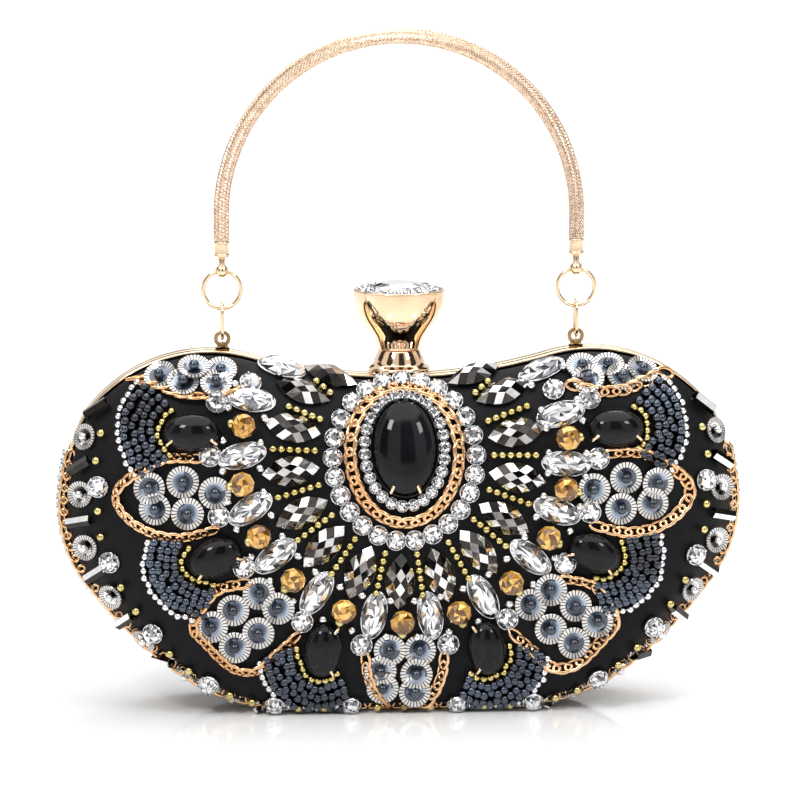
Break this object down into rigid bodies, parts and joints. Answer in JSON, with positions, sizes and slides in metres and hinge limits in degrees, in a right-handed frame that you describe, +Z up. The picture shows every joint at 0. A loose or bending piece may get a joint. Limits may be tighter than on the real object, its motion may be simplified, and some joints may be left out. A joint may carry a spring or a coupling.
{
  "type": "evening bag",
  "caption": "Hard-case evening bag with a hinged metal rim, beaded domed front, knob clasp and stiff ring handle.",
  "frame": {"origin": "on the table, under the middle of the bag's box", "axes": "+Z up, +X to the right as seen from the front, the beaded front faces -Y"},
  "size_m": [0.2096, 0.0558, 0.2054],
  "materials": {
    "gold": "polished",
    "antique_gold": "satin",
    "satin": "satin",
    "lining_cloth": "matte",
    "black_stone": "gloss",
    "crystal": "gloss",
    "steel": "satin",
    "hematite": "gloss",
    "amber": "gloss",
    "silver": "polished"
  },
  "bodies": {
    "front_half": {"front_rim": "gold", "front_cover": "satin", "front_lining": "lining_cloth", "front_edge_crystals": "crystal", "front_edge_chain": "gold", "centre_setting": "black_stone", "centre_cabochon": "black_stone", "centre_crystal_ring": "crystal", "upper_setting_left": "gold", "upper_cabochon_left": "black_stone", "side_setting_left": "gold", "side_cabochon_left": "black_stone", "lower_setting_left": "gold", "lower_cabochon_left": "black_stone", "upper_setting_right": "gold", "upper_cabochon_right": "black_stone", "side_setting_right": "gold", "side_cabochon_right": "black_stone", "lower_setting_right": "gold", "lower_cabochon_right": "black_stone", "front_knuckle_left": "gold", "front_knuckle_right": "gold", "hinge_pin_left": "steel", "hinge_pin_right": "steel", "handle_tab_left": "antique_gold", "handle_tab_right": "antique_gold", "gusset_left": "lining_cloth", "gusset_right": "lining_cloth", "clasp_foot": "gold", "latch_pin": "steel", "latch_spring": "steel"},
    "rear_half": {"rear_rim": "gold", "rear_cover": "satin", "rear_lining": "lining_cloth", "rear_edge_crystals": "crystal", "rear_edge_chain": "gold", "inner_pocket": "lining_cloth", "catch_plate": "steel", "rear_knuckle_left": "gold", "rear_knuckle_right": "gold"},
    "clasp_knob": {"clasp_cup": "gold", "clasp_pave": "crystal", "clasp_stone": "crystal", "latch_arm": "steel"},
    "links": {"oval_link_left": "gold", "oval_link_right": "gold"},
    "rings": {"round_ring_left": "gold", "round_ring_right": "gold"},
    "handle": {"handle_tube": "gold", "ferrule_left": "gold", "ferrule_right": "gold", "ball_end_left": "gold", "ball_end_right": "gold"}
  },
  "joints": [
    {"name": "case_open", "type": "hinge", "parent": "front_half", "child": "rear_half", "pos_m": [0, 0.00396, 0.0016], "axis": [-1, 0, 0], "range_deg": [0, 60], "deforming": ["gusset_left", "gusset_right"]},
    {"name": "clasp_rock", "type": "hinge", "parent": "front_half", "child": "clasp_knob", "pos_m": [0, 0.00396, 0.1045], "axis": [-1, 0, 0], "range_deg": [0, 8], "stiffness_Nm_per_rad": 0.25, "springref_deg": -5.73, "deforming": ["latch_spring"]},
    {"name": "links_swing", "type": "hinge", "parent": "front_half", "child": "links", "pos_m": [0, 0.00206, 0.1119], "axis": [1, 0, 0], "range_deg": [-35, 35]},
    {"name": "rings_swing", "type": "hinge", "parent": "links", "child": "rings", "pos_m": [0, 0.00206, 0.12115], "axis": [1, 0, 0], "range_deg": [-50, 50]},
    {"name": "handle_swing", "type": "hinge", "parent": "rings", "child": "handle", "pos_m": [0, 0.00206, 0.13245], "axis": [1, 0, 0], "range_deg": [-50, 50]}
  ]
}
